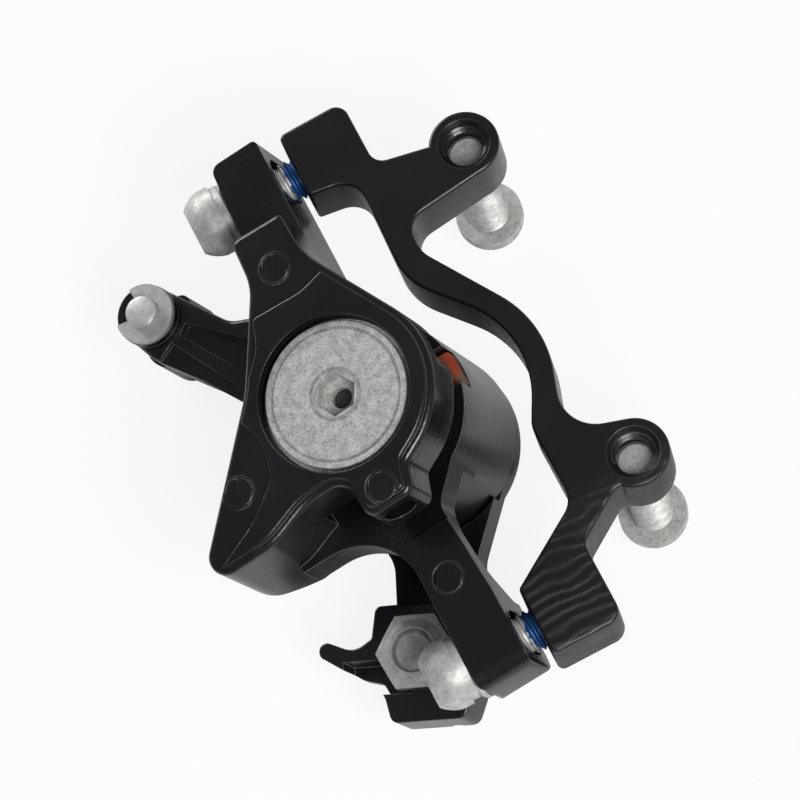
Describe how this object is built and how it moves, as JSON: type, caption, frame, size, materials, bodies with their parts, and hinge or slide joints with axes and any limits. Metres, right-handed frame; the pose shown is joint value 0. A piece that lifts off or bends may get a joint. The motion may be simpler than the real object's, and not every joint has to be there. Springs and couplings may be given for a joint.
{
  "type": "bicycle disc brake caliper",
  "caption": "Cable-operated disc brake caliper with ball-ramp drive, hex pad adjuster and swivelling cable stop, tilted on a two-bolt bracket that carries it beside a rotor.",
  "frame": {"origin": "midway between the two fork-tab bolt holes, on the bracket face that bears on the fork tab", "axes": "+Z along the wheel axle towards the wheel, +Y along the line of the two caliper bolts, +X from the caliper to the bracket's fork-tab bosses"},
  "size_m": [0.0615, 0.0851, 0.0493],
  "materials": {
    "black_paint": "satin black powder coat",
    "black_casting": "satin black paint on a die casting",
    "zinc": "bright zinc plate",
    "zinc_disc": "cast zinc, turned on its face",
    "pad_steel": "red primer on steel",
    "friction": "sintered friction compound",
    "spring_steel": "dark spring steel",
    "steel": "ground steel",
    "rubber": "matt black rubber",
    "brass": "stamped brass",
    "bronze": "sintered bronze"
  },
  "bodies": {
    "bracket": {"adapter_bracket": "black_paint", "fork_tab_bolts": "zinc", "caliper_bolts": "zinc", "cup_washers": "zinc"},
    "caliper": {"caliper_body": "black_casting", "ball_washers": "zinc", "pad_spring": "spring_steel", "piston_seal": "rubber", "thrust_washer": "bronze", "spindle_bushing": "bronze", "dust_seal": "rubber"},
    "inner_pad": {"inner_pad_plate": "pad_steel", "inner_pad_lining": "friction"},
    "adjuster": {"adjuster_disc": "zinc_disc"},
    "piston_and_outer_pad": {"piston": "steel", "outer_pad_plate": "pad_steel", "outer_pad_lining": "friction"},
    "actuator": {"actuator_arm": "black_casting", "ramp_spindle": "steel", "return_spring": "spring_steel", "arm_bolt": "zinc", "arm_bolt_washer": "zinc", "clamp_bolt": "zinc", "clamp_washer": "zinc", "clamp_nut": "zinc"},
    "balls_in_cage": {"ball_cage": "brass", "ramp_balls": "steel"},
    "cable_stop": {"cable_stop": "black_casting", "stop_pin": "zinc", "stop_clip": "spring_steel"}
  },
  "joints": [
    {"name": "caliper_swivel", "type": "hinge", "parent": "bracket", "child": "caliper", "pos_m": [-0.0278, -0.0036, 0.0044], "axis": [0, 1, 0], "range_deg": [0, 26.4]},
    {"name": "pad_feed", "type": "slide", "parent": "caliper", "child": "inner_pad", "axis": [0.2284, 0, -0.9736], "range_m": [-0.00025, 0.00117]},
    {"name": "adjuster_turn", "type": "hinge", "parent": "inner_pad", "child": "adjuster", "pos_m": [-0.02751, -0.0036, 0.00447], "axis": [0.2284, 0, -0.9736], "range_deg": [-91, 421]},
    {"name": "piston_slide", "type": "slide", "parent": "caliper", "child": "piston_and_outer_pad", "axis": [-0.2284, 0, 0.9736], "range_m": [0, 0.001], "deforming": ["pad_spring"]},
    {"name": "arm_turn", "type": "hinge", "parent": "caliper", "child": "actuator", "pos_m": [-0.02751, -0.0036, 0.00447], "axis": [0.2284, 0, -0.9736], "range_deg": [0, 40.3], "stiffness_Nm_per_rad": 0.35, "springref_deg": -34.38, "deforming": ["return_spring"]},
    {"name": "ball_cage_turn", "type": "hinge", "parent": "caliper", "child": "balls_in_cage", "pos_m": [-0.02751, -0.0036, 0.00447], "axis": [0.2284, 0, -0.9736], "range_deg": [0, 20.3]},
    {"name": "cable_stop_swivel", "type": "hinge", "parent": "caliper", "child": "cable_stop", "pos_m": [-0.05097, 0.0312, -0.00103], "axis": [-0.2284, 0, 0.9736], "range_deg": [-35, 35]}
  ],
  "couplings": [
    {"joint": "adjuster_turn", "follows": "pad_feed", "rad_per_m": 6283.2},
    {"joint": "arm_turn", "follows": "piston_slide", "rad_per_m": 698.13},
    {"joint": "ball_cage_turn", "follows": "piston_slide", "rad_per_m": 349.07}
  ]
}
